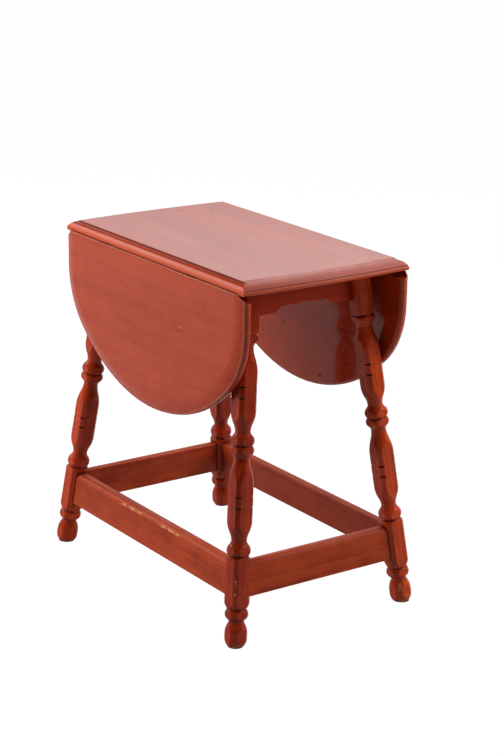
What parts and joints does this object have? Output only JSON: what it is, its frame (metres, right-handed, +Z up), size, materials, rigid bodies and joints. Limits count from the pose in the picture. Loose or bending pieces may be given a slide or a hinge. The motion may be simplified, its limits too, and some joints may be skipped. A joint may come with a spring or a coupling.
{
  "type": "drop-leaf table",
  "caption": "Small drop-leaf side table: rule-jointed rounded leaves on a narrow top, splayed turned legs, a box stretcher and pull-out bearers under the leaves.",
  "frame": {"origin": "on the floor, in the middle between the four feet", "axes": "+X along the hinge lines to the right end, -Y towards the front leaf, +Z up"},
  "size_m": [0.5822, 0.3772, 0.6],
  "materials": {
    "top_wood": "red-brown stained wood, semi-gloss lacquer",
    "leaf_wood": "red-brown stained wood, semi-gloss lacquer",
    "leg_wood": "red-brown stained wood, semi-gloss lacquer",
    "apron_wood": "red-brown stained wood, semi-gloss lacquer",
    "stretcher_wood": "red-brown stained wood, semi-gloss lacquer, worn arrises",
    "inner_wood": "bare pale wood, planed",
    "hinge_steel": "dull aged steel",
    "pin_steel": "plain steel",
    "screw_steel": "slotted steel"
  },
  "bodies": {
    "base": {"centre_top": "top_wood", "end_apron_left": "apron_wood", "end_apron_right": "apron_wood", "end_stretcher_left": "stretcher_wood", "end_stretcher_right": "stretcher_wood", "glue_block_back_left": "inner_wood", "glue_block_back_right": "inner_wood", "glue_block_front_left": "inner_wood", "glue_block_front_right": "inner_wood", "hinge_pin_back_left": "pin_steel", "hinge_pin_back_right": "pin_steel", "hinge_pin_front_left": "pin_steel", "hinge_pin_front_right": "pin_steel", "hinge_top_plate_back_left": "hinge_steel", "hinge_top_plate_back_right": "hinge_steel", "hinge_top_plate_front_left": "hinge_steel", "hinge_top_plate_front_right": "hinge_steel", "hinge_top_screws": "screw_steel", "leg_back_left": "leg_wood", "leg_back_right": "leg_wood", "leg_front_left": "leg_wood", "leg_front_right": "leg_wood", "side_apron_back": "apron_wood", "side_apron_front": "apron_wood", "side_stretcher_back": "stretcher_wood", "side_stretcher_front": "stretcher_wood", "top_fixing_screws": "screw_steel"},
    "front_leaf": {"hinge_leaf_plate_front_left": "hinge_steel", "hinge_leaf_plate_front_right": "hinge_steel", "hinge_leaf_screws_front": "screw_steel", "leaf_front": "leaf_wood"},
    "back_leaf": {"hinge_leaf_plate_back_left": "hinge_steel", "hinge_leaf_plate_back_right": "hinge_steel", "hinge_leaf_screws_back": "screw_steel", "leaf_back": "leaf_wood"},
    "front_bearer": {"bearer_front": "inner_wood", "bearer_stop_front": "inner_wood"},
    "back_bearer": {"bearer_back": "inner_wood", "bearer_stop_back": "inner_wood"}
  },
  "joints": [
    {"name": "front_leaf_hinge", "type": "hinge", "parent": "base", "child": "front_leaf", "pos_m": [0, -0.1496, 0.58335], "axis": [-1, 0, 0], "range_deg": [0, 90]},
    {"name": "back_leaf_hinge", "type": "hinge", "parent": "base", "child": "back_leaf", "pos_m": [0, 0.1496, 0.58335], "axis": [1, 0, 0], "range_deg": [0, 90]},
    {"name": "front_bearer_slide", "type": "slide", "parent": "base", "child": "front_bearer", "axis": [0, -1, 0], "range_m": [0, 0.038]},
    {"name": "back_bearer_slide", "type": "slide", "parent": "base", "child": "back_bearer", "axis": [0, 1, 0], "range_m": [0, 0.038]}
  ]
}
